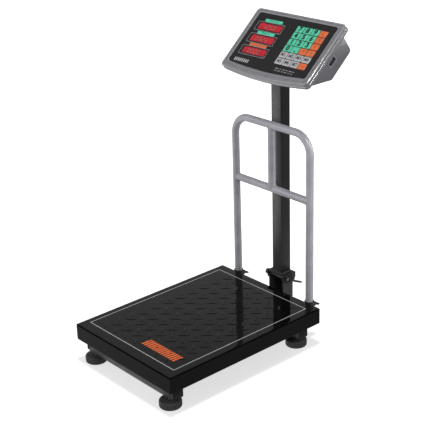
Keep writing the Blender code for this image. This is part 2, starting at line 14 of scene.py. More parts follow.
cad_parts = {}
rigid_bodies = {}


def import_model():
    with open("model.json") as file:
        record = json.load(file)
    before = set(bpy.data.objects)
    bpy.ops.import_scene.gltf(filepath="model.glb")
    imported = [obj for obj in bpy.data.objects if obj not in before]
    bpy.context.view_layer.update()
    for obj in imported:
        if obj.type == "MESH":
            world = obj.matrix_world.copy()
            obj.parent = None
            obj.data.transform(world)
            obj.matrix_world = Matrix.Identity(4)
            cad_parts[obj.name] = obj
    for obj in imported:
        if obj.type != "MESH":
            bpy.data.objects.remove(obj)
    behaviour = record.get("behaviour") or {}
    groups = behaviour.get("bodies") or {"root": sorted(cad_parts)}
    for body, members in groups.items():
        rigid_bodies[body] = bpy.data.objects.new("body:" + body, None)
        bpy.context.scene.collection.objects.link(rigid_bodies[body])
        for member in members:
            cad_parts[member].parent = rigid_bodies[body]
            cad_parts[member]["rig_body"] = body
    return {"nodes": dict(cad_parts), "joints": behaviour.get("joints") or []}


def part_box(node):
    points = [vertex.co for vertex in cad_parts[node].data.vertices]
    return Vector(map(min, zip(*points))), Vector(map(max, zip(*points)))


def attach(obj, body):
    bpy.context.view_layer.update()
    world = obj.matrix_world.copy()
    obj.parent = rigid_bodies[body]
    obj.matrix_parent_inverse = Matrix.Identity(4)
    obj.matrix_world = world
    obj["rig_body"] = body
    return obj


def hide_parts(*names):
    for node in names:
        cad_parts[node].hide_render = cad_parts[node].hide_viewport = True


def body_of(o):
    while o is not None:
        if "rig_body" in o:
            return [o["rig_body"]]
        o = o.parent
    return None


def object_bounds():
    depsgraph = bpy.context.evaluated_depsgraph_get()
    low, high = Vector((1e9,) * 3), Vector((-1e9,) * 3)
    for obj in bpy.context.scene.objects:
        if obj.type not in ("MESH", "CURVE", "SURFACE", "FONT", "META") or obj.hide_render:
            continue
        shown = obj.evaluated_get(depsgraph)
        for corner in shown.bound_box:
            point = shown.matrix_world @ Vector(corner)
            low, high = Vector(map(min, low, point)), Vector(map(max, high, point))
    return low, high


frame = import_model()
cad_low, cad_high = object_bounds()

MM = 0.001

# the head's face, as the CAD draws it
KEY_7_X = 0.0224
KEY_7_V = 0.1183
KEY_MIDDLE_N = -0.00055
KEY_PITCH_X = 0.0209
KEY_PITCH_V = 0.0159
LID_HALF = 0.1225
LID_LENGTH = 0.151
LID_CORNER = 0.008
LID_BOW = 0.008
PANEL_HALF = 0.1085
PANEL_LOW = 0.015
PANEL_HIGH = 0.140
PANEL_BOW = 0.006
PANEL_TOP = -0.0005
HOUSING_HALF = 0.1195
HOUSING_BACK = -0.0565
DISPLAY_V = (0.036, 0.0665, 0.097)
DISPLAY_X = (-0.096, -0.020)
DISPLAY_HEIGHT = 0.0225
LABEL_X = -0.056

FEET = ("foot_front_left", "foot_front_right", "foot_rear_left", "foot_rear_right")


# ---------------------------------------------------------------- places taken from the frame
def middle_of(node):
    low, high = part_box(node)
    return (low + high) / 2


def joint(name):
    return next(j for j in frame["joints"] if j["name"] == name)


def face_frame():
    """The matrix that takes (x, v, n) to the row frame."""
    normal = -Vector(joint("key_7_press")["axis"]).normalized()
    across = Vector((1, 0, 0))
    slope = normal.cross(across)
    origin = middle_of("key_7") - across * KEY_7_X - slope * KEY_7_V - normal * KEY_MIDDLE_N
    matrix = Matrix((across, slope, normal)).transposed().to_4x4()
    matrix.translation = origin
    return matrix


FACE = face_frame()
WORLD = Matrix.Identity(4)


# ---------------------------------------------------------------- materials
class Nodes:
    """A node tree that is being wired up."""

    def __init__(self, tree):
        self.tree = tree

    def node(self, kind, inputs=None, **settings):
        made = self.tree.nodes.new(kind)
        for key, value in settings.items():
            setattr(made, key, value)
        for key, value in (inputs or {}).items():
            self.feed(made.inputs[key], value)
        return made

    def feed(self, socket, value):
        if isinstance(value, bpy.types.NodeSocket):
            self.tree.links.new(value, socket)
        else:
            socket.default_value = value

    def math(self, operation, first, second=0.0, third=0.0):
        made = self.node("ShaderNodeMath", operation=operation)
        for socket, value in zip(made.inputs, (first, second, third)):
            self.feed(socket, value)
        return made.outputs[0]

    def product(self, first, *others):
        for other in others:
            first = self.math("MULTIPLY", first, other)
        return first

    def spread(self, value, low, high, from_low=0.3, from_high=0.7, **settings):
        """A value moved to the range low to high."""
        inputs = {"Value": value, "From Min": from_low, "From Max": from_high, "To Min": low, "To Max": high}
        return self.node("ShaderNodeMapRange", inputs, **settings).outputs[0]


class Look(Nodes):
    """A Principled material and the nodes that feed it."""

    def __init__(self, name, color, roughness, **sockets):
        self.material = bpy.data.materials.new(name)
        self.material.use_nodes = True
        super().__init__(self.material.node_tree)
        self.shader = self.tree.nodes["Principled BSDF"]
        self.color = (*color, 1)
        self.set("Base Color", self.color)
        self.set("Roughness", roughness)
        for socket, value in sockets.items():
            self.set(socket.replace("_", " "), value)
        self.place = self.node("ShaderNodeTexCoord").outputs["Object"]
        self.height = None

    def set(self, socket, value):
        self.feed(self.shader.inputs[socket], value)

    def noise(self, scale, detail=2.0, stretch=None, distortion=0.0):
        """Noise whose grains are about 1 / scale metres across."""
        place = self.place
        if stretch is not None:
            place = self.node("ShaderNodeMapping", {"Vector": place, "Scale": stretch}).outputs[0]
        inputs = {"Vector": place, "Scale": scale, "Detail": detail, "Distortion": distortion}
        return self.node("ShaderNodeTexNoise", inputs).outputs["Fac"]

    def mix(self, share, first, second):
        """A colour between two colours."""
        made = self.node("ShaderNodeMix", data_type="RGBA")
        self.feed(made.inputs["Factor"], share)
        self.feed(made.inputs[6], first)
        self.feed(made.inputs[7], second)
        return made.outputs[2]

    def tint(self, value, amount):
        """The base colour made lighter and darker by a share, as value goes from 0.3 to 0.7."""
        dark = tuple(c * (1 - amount) for c in self.color[:3]) + (1,)
        light = tuple(min(1, c * (1 + amount)) for c in self.color[:3]) + (1,)
        color = self.mix(self.spread(value, 0, 1), dark, light)
        self.set("Base Color", color)
        return color

    def rough(self, value, low, high):
        self.set("Roughness", self.spread(value, low, high))

    def bump(self, value, depth):
        """Raise the surface by up to depth metres; calls add up."""
        made = self.node("ShaderNodeBump", {"Height": value, "Distance": depth, "Strength": 1.0})
        if self.height is not None:
            self.feed(made.inputs["Normal"], self.height)
        self.height = made.outputs[0]
        self.set("Normal", self.height)


def steel_paint(name, color, roughness, grain=900.0, depth=0.03 * MM, gloss=0.5):
    """Powder coat: fine grain, with slow changes of gloss and shade."""
    look = Look(name, color, roughness, Specular_IOR_Level=gloss)
    look.tint(look.noise(22.0, 3), 0.14)
    look.rough(look.noise(60.0, 3), roughness - 0.06, roughness + 0.08)
    look.bump(look.noise(grain, 2), depth)
    look.bump(look.noise(grain / 6, 1), depth * 2)
    return look.material


def enamel(name, bend_shine):
    """Glossy black enamel with a printed border line and slanted bars; bend_shine is its gloss on slopes."""
    top_shine, side_shine = 0.05, 0.02
    # Painted light: a flat black, lighter than the top, for the upright and downward faces of the sheet.
    painted_side_light = (0.0125, 0.0125, 0.0130, 1)
    upright, level = (0.02, 0.12), (0.90, 0.98)
    look = Look(name, (0.0035, 0.0035, 0.0037), 0.06)
    shade = look.tint(look.noise(60.0, 3, stretch=(1, 1, 0.3)), 0.5)
    look.rough(look.noise(9.0, 4, distortion=0.6), 0.025, 0.06)
    look.bump(look.noise(55.0, 3), 0.16 * MM)
    look.bump(look.noise(150.0, 1), 0.02 * MM)
    look.bump(look.noise(1400.0, 2), 0.004 * MM)
    normal = look.node("ShaderNodeNewGeometry").outputs["Normal"]
    facing_up = look.node("ShaderNodeSeparateXYZ", {"Vector": normal}).outputs[2]
    flat_top = look.spread(facing_up, bend_shine, top_shine, *level)
    flat_side = look.spread(facing_up, side_shine, bend_shine, *upright)
    # Painted light: faces that stand upright or face down take the lighter side black in place of the mottled
    # top colour.
    shade = look.mix(look.spread(facing_up, 0.0, 1.0, *upright), painted_side_light, shade)
    look.set("Specular IOR Level", look.math("MAXIMUM", flat_top, flat_side))

    low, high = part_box("pan")
    middle = (low + high) / 2
    axes = look.node("ShaderNodeSeparateXYZ", {"Vector": look.place}).outputs
    x = look.math("SUBTRACT", axes[0], middle.x)
    y = look.math("SUBTRACT", axes[1], middle.y)
    on_top = look.math("GREATER_THAN", axes[2], high.z - 0.6 * MM)
    worn = look.spread(look.noise(420.0, 3), 0.75, 1.0)
    pale, orange = (0.60, 0.60, 0.59, 1), (1.0, 0.185, 0.042, 1)
    with_line = look.mix(look.product(border_line(look, x, y), on_top, worn), shade, pale)
    look.set("Base Color", look.mix(look.product(slanted_bars(look, x, y), on_top, worn), with_line, orange))
    return look.material


def border_line(look, x, y):
    """1 on a thin rectangle round the pan's middle."""
    line = 1.7 * MM
    middle_x, middle_y = -0.0022, 0.0014
    half_x, half_y = 0.1325, 0.1759
    from_middle_x = look.math("ABSOLUTE", look.math("SUBTRACT", x, middle_x))
    from_middle_y = look.math("ABSOLUTE", look.math("SUBTRACT", y, middle_y))
    beside = look.math("SUBTRACT", from_middle_x, half_x)
    beyond = look.math("SUBTRACT", from_middle_y, half_y)
    away = look.math("ABSOLUTE", look.math("MAXIMUM", beside, beyond))
    return look.math("LESS_THAN", away, line / 2)


def slanted_bars(look, x, y):
    """1 on a row of leaning bars near the pan's front edge."""
    left, right = 0.007, 0.106
    front, back = -0.1545, -0.1315
    half_length = (right - left) / 2
    half_height = (back - front) / 2
    lean = 0.12
    pitch = 7.15 * MM
    bar_share = 0.66
    shift = look.math("MULTIPLY", look.math("SUBTRACT", y, front), lean)
    along = look.math("SUBTRACT", look.math("SUBTRACT", x, left), shift)
    inside_x = look.math("COMPARE", along, half_length, half_length)
    inside_y = look.math("COMPARE", y, (front + back) / 2, half_height)
    stripe = look.math("LESS_THAN", look.math("FRACT", look.math("DIVIDE", along, pitch)), bar_share)
    return look.product(inside_x, inside_y, stripe)


def moulded(name, color, roughness, grain=1500.0, depth=0.02 * MM, shade=0.06, coat=0.0):
    """Moulded plastic with a fine spark-eroded texture, and a clear coat if asked."""
    look = Look(name, color, roughness, Coat_Weight=coat, Coat_Roughness=0.12)
    look.tint(look.noise(35.0, 3), shade)
    look.rough(look.noise(200.0, 2), roughness - 0.05, roughness + 0.06)
    look.bump(look.noise(grain, 2), depth)
    return look.material


def printed_film(name, color, roughness, gloss=0.5):
    """Printed film: faint mottling of the ink and a very fine embossing."""
    look = Look(name, color, roughness, Specular_IOR_Level=gloss)
    look.tint(look.noise(90.0, 3), 0.12)
    look.rough(look.noise(25.0, 4), roughness - 0.05, roughness + 0.07)
    look.bump(look.noise(2200.0, 1), 0.006 * MM)
    look.bump(look.noise(60.0, 1), 0.02 * MM)
    return look.material


def bare_metal(name, color, roughness, stretch):
    """Plated or machined metal with a drawn grain."""
    look = Look(name, color, roughness, Metallic=1.0)
    look.tint(look.noise(40.0, 3), 0.1)
    brushed = look.noise(300.0, 3, stretch=stretch)
    look.rough(brushed, roughness - 0.08, roughness + 0.12)
    look.bump(brushed, 0.004 * MM)
    return look.material


def led_window(name):
    """Red filter over a lit display: unevenly red, with a faint glow."""
    look = Look(name, (0.40, 0.014, 0.024), 0.16)
    look.tint(look.noise(45.0, 2), 0.22)
    look.bump(look.noise(400.0, 1), 0.004 * MM)
    look.set("Emission Color", (0.55, 0.01, 0.018, 1))
    look.set("Emission Strength", 0.12)
    return look.material


def moulded_rubber(name):
    look = Look(name, (0.026, 0.026, 0.027), 0.55)
    look.tint(look.noise(70.0, 4), 0.35)
    look.rough(look.noise(160.0, 3), 0.46, 0.66)
    look.bump(look.noise(800.0, 3), 0.04 * MM)
    return look.material


def board_look(name):
    look = Look(name, (0.015, 0.10, 0.04), 0.4)
    tracks = look.node("ShaderNodeTexVoronoi", {"Vector": look.place, "Scale": 260.0}).outputs["Distance"]
    look.tint(tracks, 0.5)
    look.bump(tracks, 0.03 * MM)
    return look.material


BLACK_STEEL = steel_paint("black_powder_coat", (0.013, 0.013, 0.0137), 0.38, gloss=0.6)
# Painted light: a lighter copy of the black powder coat, so that the bracket's sides come out lighter than
# the column's.
BRACKET_PAINTED_LIGHT = steel_paint("bracket_coat_painted_light", (0.042, 0.042, 0.044), 0.36)
COLUMN_STEEL = steel_paint("column_powder_coat", (0.036, 0.036, 0.037), 0.44, depth=0.01 * MM, gloss=0.35)
GREY_STEEL = steel_paint("grey_powder_coat", (0.050, 0.050, 0.052), 0.50, gloss=0.3)
RAIL_PAINT = steel_paint("silver_grey_paint", (0.34, 0.34, 0.37), 0.30, 700.0, 0.015 * MM)
PAN_SHEET = enamel("pan_enamel", 0.0)
PAN_TREAD = enamel("tread_enamel", 0.08)
HOUSING = moulded("grey_housing_plastic", (0.19, 0.19, 0.205), 0.36, depth=0.01 * MM, coat=0.8)
HOUSING_DARK = moulded("grey_rear_plastic", (0.125, 0.125, 0.138), 0.42, depth=0.012 * MM, coat=0.25)
BLACK_PLASTIC = moulded("black_plastic", (0.014, 0.014, 0.015), 0.42, 900.0, 0.03 * MM, 0.2)
SWITCH_PLASTIC = printed_film("switch_plastic", (0.006, 0.006, 0.0065), 0.5, 0.2)
PANEL_FILM = printed_film("panel_film", (0.012, 0.012, 0.013), 0.42, 0.25)
MINT = printed_film("mint_key_film", (0.07, 0.52, 0.32), 0.42)
ORANGE = printed_film("orange_key_film", (0.62, 0.125, 0.032), 0.42)
PALE_KEY = printed_film("pale_key_film", (0.40, 0.40, 0.41), 0.42)
PALE_PRINT = printed_film("pale_print", (0.42, 0.42, 0.42), 0.45)
DARK_PRINT = printed_film("dark_print", (0.006, 0.009, 0.008), 0.45)
RUST_PRINT = printed_film("rust_print", (0.20, 0.045, 0.018), 0.45)
GREY_PRINT = printed_film("grey_print", (0.32, 0.32, 0.32), 0.45)
RED_WINDOW = led_window("red_display_filter")
DIGIT_PRINT = printed_film("unlit_segments", (0.16, 0.13, 0.12), 0.3)
RUBBER = moulded_rubber("foot_rubber")
ZINC = bare_metal("zinc_plate", (0.52, 0.52, 0.50), 0.34, (1, 1, 6))
ALUMINIUM = bare_metal("machined_aluminium", (0.62, 0.62, 0.61), 0.36, (8, 1, 1))
BOARD = board_look("green_solder_mask")


# ---------------------------------------------------------------- mesh helpers
def new_object(name, mesh, look, matrix):
    obj = bpy.data.objects.new(name, mesh)
    bpy.context.scene.collection.objects.link(obj)
    obj.matrix_world = matrix
    if look is not None:
        mesh.materials.append(look)
    return obj


def body_from(name, bm, look, matrix=WORLD, sharp=38.0):
    """A mesh object with outward normals, smooth up to the given angle."""
    bmesh.ops.recalc_face_normals(bm, faces=bm.faces)
    mesh = bpy.data.meshes.new(name)
    bm.to_mesh(mesh)
    bm.free()
    mesh.polygons.foreach_set("use_smooth", [True] * len(mesh.polygons))
    mesh.set_sharp_from_angle(angle=math.radians(sharp))
    return new_object(name, mesh, look, matrix)


def skin(bm, rings, closed=False):
    """Quads over rings of points, which all have the same number of points; the ends are capped."""
    rows = [[bm.verts.new(point) for point in ring] for ring in rings]
    pairs = list(zip(rows, rows[1:]))
    if closed:
        pairs.append((rows[-1], rows[0]))
    for low, high in pairs:
        for here in range(len(low)):
            there = (here + 1) % len(low)
            bm.faces.new((low[here], low[there], high[there], high[here]))
    if not closed:
        bm.faces.new(rows[0])
        bm.faces.new(rows[-1])


def loft(name, rings, look, matrix=WORLD, closed=False, sharp=38.0):
    bm = bmesh.new()
    skin(bm, rings, closed)
    return body_from(name, bm, look, matrix, sharp)


def circle(radius, sides, height=0.0):
    angles = [2 * math.pi * side / sides for side in range(sides)]
    return [Vector((radius * math.cos(a), radius * math.sin(a), height)) for a in angles]


def lathe(name, profile, look, matrix):
    """A solid of (radius, height) points spun about its own Z; the ends are closed."""
    return loft(name, [circle(max(radius, 1e-5), 48, height) for radius, height in profile], look, matrix)


def tube_rings(path, radius, sides, closed):
    """Rings round a path of points; radius is a number or a function of the step."""
    count = len(path)
    rings = []
    side_axis = None
    for step, point in enumerate(path):
        before = path[step - 1] if step or closed else point
        after = path[(step + 1) % count] if step + 1 < count or closed else point
        along = (after - before).normalized()
        if side_axis is None:
            side_axis = along.orthogonal().normalized()
        side_axis = (side_axis - along * side_axis.dot(along)).normalized()
        up_axis = along.cross(side_axis)
        here = radius(step) if callable(radius) else radius
        ring = [point + side_axis * c.x * here + up_axis * c.y * here for c in circle(1, sides)]
        rings.append(ring)
    return rings


def tube(name, path, radius, look, sides, closed=False):
    return loft(name, tube_rings(path, radius, sides, closed), look, WORLD, closed)


def bead(name, path, radius, look, closed=True):
    """A weld bead: a thin tube whose radius ripples along its length."""
    def ripple(step):
        return radius * (0.86 + 0.16 * math.sin(step * 1.9) + 0.06 * math.sin(step * 0.53 + 1))
    return tube(name, path, ripple, look, 10, closed)


def straight(start, end, spans):
    """Evenly spaced points from one place to another."""
    return [start.lerp(end, step / spans) for step in range(spans + 1)]


def straight_weld(name, start, end, spans, look, slot):
    """A bead of the base between two points."""
    path = straight(Vector(start), Vector(end), spans)
    settle(bead(f"{name}_weld", path, 1.3 * MM, look, closed=False), "base")


def rounded_rectangle(half_x, half_y, corner, steps, middle=(0.0, 0.0)):
    """Points of a rectangle with round corners, anticlockwise from the +X +Y corner."""
    corner = max(corner, 1e-5)
    points = []
    for index, (sign_x, sign_y) in enumerate(((1, 1), (-1, 1), (-1, -1), (1, -1))):
        for step in range(steps + 1):
            angle = math.pi / 2 * (index + step / steps)
            points.append((middle[0] + sign_x * (half_x - corner) + corner * math.cos(angle),
                           middle[1] + sign_y * (half_y - corner) + corner * math.sin(angle)))
    return points


def lifted(outline, height):
    return [Vector((x, y, height)) for x, y in outline]


def slab(name, half_x, half_y, corner, low, high, look, matrix, middle=(0.0, 0.0), edge=0.3 * MM):
    """A plate with round corners and softened upper and lower edges."""
    edge = min(edge, (high - low) / 2)
    rings = []
    for inset, height in ((edge, low), (edge * 0.3, low + edge * 0.3), (0, low + edge), (0, high - edge),
                          (edge * 0.3, high - edge * 0.3), (edge, high)):
        outline = rounded_rectangle(half_x - inset, half_y - inset, corner - inset, 5, middle)
        rings.append(lifted(outline, height))
    return loft(name, rings, look, matrix)


def outline_ring(name, outer, inner, low, high, look, matrix):
    """A flat frame between two outlines with the same number of points."""
    rings = [lifted(outer, low), lifted(outer, high), lifted(inner, high), lifted(inner, low)]
    return loft(name, rings, look, matrix, closed=True)


def hexagon_head(name, across, height, look, matrix, washer=None):
    """A chamfered hexagon that stands on its own Z, with an optional washer (radius, thickness) below."""
    radius = across / math.sqrt(3)
    sides = 6
    per_side = 6
    base = washer[1] if washer else 0.0
    corners = circle(radius, sides)
    outline = []
    for index in range(sides):
        first, second = corners[index], corners[(index + 1) % sides]
        outline += [first.lerp(second, step / per_side) for step in range(per_side)]
    flat = across / 2

    def ring(level, limit):
        """The hexagon at a level, cut by a cone that has this radius there."""
        made = []
        for point in outline:
            reach = min(point.length, limit)
            made.append(point.normalized() * reach + Vector((0, 0, level)))
        return made

    rings = [ring(base, flat * 1.02), ring(base + height * 0.08, radius), ring(base + height * 0.78, radius),
             ring(base + height * 0.9, flat * 1.06), ring(base + height, flat * 0.92)]
    bm = bmesh.new()
    skin(bm, rings)
    if washer:
        edge = 0.2 * MM
        reach, thickness = washer
        profile = ((reach - edge, 0), (reach, edge), (reach, thickness - edge), (reach - edge, thickness))
        skin(bm, [circle(r, 32, z) for r, z in profile])
    return body_from(name, bm, look, matrix, 25.0)


def cross_screw(name, radius, look, matrix):
    """A pan-head screw with a cross recess, standing on its own Z."""
    sides = 48
    dome = ((1, 0), (1, 0.2), (0.93, 0.42), (0.72, 0.6), (0.4, 0.68))
    rings = [circle(radius * reach, sides, radius * level) for reach, level in dome]

    def star(reach, level):
        """A cross-shaped ring: long in four directions and narrow between them."""
        points = []
        for point in circle(1, sides):
            lobe = max(abs(point.x), abs(point.y)) ** 24
            points.append((point * reach * (0.24 + 0.76 * lobe) + Vector((0, 0, level))) * radius)
        return points

    rings += [star(0.56, 0.66), star(0.52, 0.3), star(0.2, 0.1)]
    return loft(name, rings, look, matrix, sharp=30.0)


def threaded_rod(name, radius, pitch, low, high, look, matrix):
    """A plain helical thread between two heights, with short plain ends."""
    sides = 24
    per_turn = 6
    thread = 0.15
    plain = radius * 0.86
    rings = [circle(plain, sides, low)]
    steps = int((high - low - pitch) / pitch * per_turn)
    for step in range(steps + 1):
        level = low + pitch / 2 + step * pitch / per_turn
        ring = []
        for index, point in enumerate(circle(1, sides)):
            turn = (level / pitch - index / sides) % 1
            depth = abs(turn - 0.5) * 2
            ring.append(point * radius * (1 - thread * depth) + Vector((0, 0, level)))
        rings.append(ring)
    rings.append(circle(plain, sides, high))
    return loft(name, rings, look, matrix, sharp=60.0)


def turned_to(axis, place):
    """The matrix that lays an object's own Z along an axis, at a place."""
    matrix = Vector(axis).to_track_quat("Z", "Y").to_matrix().to_4x4()
    matrix.translation = Vector(place)
    return matrix


CAPITAL_SHARE = 0.72  # height of a capital in the font, as a share of its size


def letters(name, words, height, look, x, v, top, weight=0.0, squeeze=1.0):
    """Raised print on the head's face, centred on (x, v)."""
    curve = bpy.data.curves.new(name, "FONT")
    curve.body = words
    curve.size = height / CAPITAL_SHARE
    curve.align_x = "CENTER"
    curve.align_y = "CENTER"
    curve.offset = weight
    curve.extrude = 0.04 * MM
    curve.resolution_u = 6
    holder = new_object(name + "_curve", curve, None, WORLD)
    graph = bpy.context.evaluated_depsgraph_get()
    mesh = bpy.data.meshes.new_from_object(holder.evaluated_get(graph))
    bpy.data.objects.remove(holder)
    bpy.data.curves.remove(curve)
    mesh.name = name
    mesh.materials.clear()
    mesh.transform(Matrix.Diagonal((squeeze, 1, 1, 1)))
    return new_object(name, mesh, look, FACE @ Matrix.Translation((x, v, top)))


def settle(obj, body, replaces=()):
    """Let a piece ride on a body and stand for CAD nodes."""
    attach(obj, body)
    if replaces:
        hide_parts(*replaces)


def finish_node(name, look, smooth=32.0):
    """A CAD node that stays: joined faces, shading that is smooth up to an angle, and a new material."""
    obj = frame["nodes"][name]
    mesh = obj.data
    if "custom_normal" in mesh.attributes:
        mesh.attributes.remove(mesh.attributes["custom_normal"])
    mesh.polygons.foreach_set("use_smooth", [True] * len(mesh.polygons))
    weld = obj.modifiers.new("join_faces", "WELD")
    weld.merge_threshold = 2e-6
    split = obj.modifiers.new("sharp_edges", "EDGE_SPLIT")
    split.split_angle = math.radians(smooth)
    split.use_edge_sharp = False
    for material_slot in obj.material_slots:
        material_slot.material = look


# ---------------------------------------------------------------- pan
def pan():
    low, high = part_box("pan")
    middle = (low + high) / 2
    half_x = (high.x - low.x) / 2
    half_y = (high.y - low.y) / 2
    bend = 2.2 * MM
    bend_steps = 10
    sheet = 2.0 * MM
    lip = 0.7 * MM
    edge = 0.2 * MM
    spare = 0.8 * MM
    fillet = 0.5 * MM
    rim = bend + 20 * MM
    profile = [(rim, high.z), (bend + 4 * MM, high.z)]
    for step in range(bend_steps + 1):
        angle = math.pi / 2 * step / bend_steps
        profile.append((bend * (1 - math.sin(angle)), high.z - bend * (1 - math.cos(angle))))
    profile += [(0, high.z - bend - spare), (0, low.z + lip + spare), (0, low.z + lip),
                (edge, low.z + edge), (lip, low.z), (sheet - lip, low.z), (sheet - edge, low.z + edge),
                (sheet, low.z + lip), (sheet, high.z - bend), (sheet + fillet, high.z - sheet - fillet),
                (bend, high.z - sheet), (rim, high.z - sheet)]
    rings = []
    for inset, level in profile:
        corner = max(bend - inset, 0.3 * MM)
        outline = rounded_rectangle(half_x - inset, half_y - inset, corner, 8, (middle.x, middle.y))
        rings.append(lifted(outline, level))
    shell = loft("pan_sheet", rings, PAN_SHEET)
    settle(shell, "pan", ["pan"])

    tread = bmesh.new()
    pitch_x, pitch_y = 0.0322, 0.0332
    first_x, first_y = middle.x - 0.0230, middle.y - 0.0089
    reach_x, reach_y = 0.119, 0.163
    for column in range(-8, 12):
        for row in range(-10, 14):
            x = first_x + column * pitch_x / 2
            y = first_y + row * pitch_y / 2
            inside = abs(x - middle.x) < reach_x and abs(y - middle.y) < reach_y
            if (column + row) % 2 == 0 and inside:
                tread_bar(tread, Vector((x, y, high.z)), -45 if column % 2 else 45)
    settle(body_from("pan_tread", tread, PAN_TREAD, sharp=70.0), "pan")


def tread_bar(bm, place, angle):
    """One raised lens of the tread pattern, whose rim lies just inside the sheet."""
    half_length = 12.8 * MM
    half_width = 2.3 * MM
    height = 0.9 * MM
    along = Vector((math.cos(math.radians(angle)), math.sin(math.radians(angle)), 0))
    across = Vector((-along.y, along.x, 0))
    sink = Vector((0, 0, -0.05 * MM))
    long_steps, cross_steps = 16, 8
    tips = [bm.verts.new(place + sink + along * half_length * end) for end in (-1, 1)]
    lines = []
    for step in range(1, long_steps):
        u = -math.cos(math.pi * step / long_steps)
        waist = 1 - u * u
        line = []
        for side in range(cross_steps + 1):
            w = -1 + 2 * side / cross_steps
            rise = height * waist ** 0.55 * (1 - w * w) ** 0.85
            point = place + sink + along * half_length * u + across * half_width * waist ** 0.8 * w
            line.append(bm.verts.new(point + Vector((0, 0, rise))))
        lines.append(line)
    for first, second in zip(lines, lines[1:]):
        for side in range(cross_steps):
            bm.faces.new((first[side], second[side], second[side + 1], first[side + 1]))
    for side in range(cross_steps):
        bm.faces.new((tips[0], lines[0][side], lines[0][side + 1]))
        bm.faces.new((tips[1], lines[-1][side + 1], lines[-1][side]))
    base = [tips[0], *[line[0] for line in lines], tips[1], *[line[-1] for line in reversed(lines)]]
    bm.faces.new(base)


# ---------------------------------------------------------------- lower frame and feet
def lower_frame():
    for name in ("front_cross_member", "rear_cross_member", "spine_channel", "column_arm", "upper_frame"):
        finish_node(name, GREY_STEEL)
    for name in ("load_cell", "load_cell_seat"):
        finish_node(name, ALUMINIUM)
    margin = 0.3 * MM
    for name in ("front_cross_member", "rear_cross_member"):
        low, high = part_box(name)
        middle = (low + high) / 2
        half_y = (high.y - low.y) / 2 - margin
        half_z = (high.z - low.z) / 2 - margin
        for side_name, side in (("left", -1), ("right", 1)):
            end_x = low.x if side < 0 else high.x
            matrix = turned_to((side, 0, 0), (end_x, middle.y, middle.z))
            plug = slab(f"{name}_{side_name}_plug", half_z, half_y, 2 * MM, -0.5 * MM, 2.2 * MM,
                        SWITCH_PLASTIC, matrix, edge=0.9 * MM)
            settle(plug, "base")
    frame_welds()
    cell_bolts()


def frame_welds():
    """Beads where the spine and the column's arm meet the cross members."""
    spine_low, spine_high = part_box("spine_channel")
    arm_low, arm_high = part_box("column_arm")
    end_gap, corner_gap = 3 * MM, 2 * MM
    places = (("spine_front", spine_low, spine_high, spine_low.y),
              ("spine_rear", spine_low, spine_high, spine_high.y),
              ("arm", arm_low, arm_high, arm_low.y))
    for name, low, high, y in places:
        ends = ((low.x + end_gap, y, low.z), (high.x - end_gap, y, low.z))
        straight_weld(name, *ends, 34, GREY_STEEL, "grey_steel")
    for side_name, x in (("left", arm_low.x), ("right", arm_high.x)):
        ends = ((x, arm_low.y, arm_low.z + corner_gap), (x, arm_low.y, arm_high.z - corner_gap))
        straight_weld(f"arm_{side_name}", *ends, 14, GREY_STEEL, "grey_steel")


def cell_bolts():
    """Heads of the load cell's screws: the front pair under the spine, the rear pair under the cell."""
    low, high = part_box("load_cell")
    middle = (low + high) / 2
    spine_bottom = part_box("spine_channel")[0].z
    ends = (("front", -45 * MM, spine_bottom, 2.88 * MM, (5 * MM, 0.8 * MM)),
            ("rear", 45 * MM, low.z, 1.92 * MM, None))
    for end_name, y, level, height, washer in ends:
        for side_name, x in (("left", -8 * MM), ("right", 8 * MM)):
            matrix = turned_to((0, 0, -1), (middle.x + x, middle.y + y, level))
            screw = hexagon_head(f"cell_bolt_{end_name}_{side_name}", 8 * MM, height, ZINC, matrix, washer)
            settle(screw, "base")


def feet():
    disc_top = 14 * MM
    stud_radius, thread_pitch = 4 * MM, 1.25 * MM
    for name in FEET:
        low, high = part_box(name)
        middle = (low + high) / 2
        radius = (high.x - low.x) / 2
        matrix = Matrix.Translation((middle.x, middle.y, 0))
        settle(ribbed_disc(f"{name}_disc", radius, disc_top, matrix), name, [name])
        stud = threaded_rod(f"{name}_stud", stud_radius, thread_pitch, disc_top - 1 * MM, high.z, BLACK_STEEL,
                            matrix)
        settle(stud, name)


def ribbed_disc(name, radius, top, matrix):
    """A levelling foot: a turned disc with upright ribs round its edge."""
    ribs = 30
    sides = ribs * 4
    drawn_radius, drawn_top = 22.5, 14
    profile = [(0.0, 20.8, 0.0), (0.15, 21.3, 0.1), (0.6, 21.9, 0.5), (1.4, 22.4, 1.0), (11.6, 22.4, 1.0),
               (12.5, 22.0, 0.6), (13.1, 21.4, 0.2), (13.4, 20.6, 0.0), (13.4, 14.0, 0.0), (13.6, 12.6, 0.0),
               (14.0, 12.0, 0.0), (14.0, 5.0, 0.0)]
    rings = []
    for level, reach, rib in profile:
        ring = []
        for index, point in enumerate(circle(1, sides)):
            groove = (0.0, 0.2, 1.0, 1.0)[index % 4] * rib * 2.0 * MM
            height = Vector((0, 0, level / drawn_top * top))
            ring.append(point * (reach / drawn_radius * radius - groove) + height)
        rings.append(ring)
    return loft(name, rings, RUBBER, matrix, sharp=50.0)


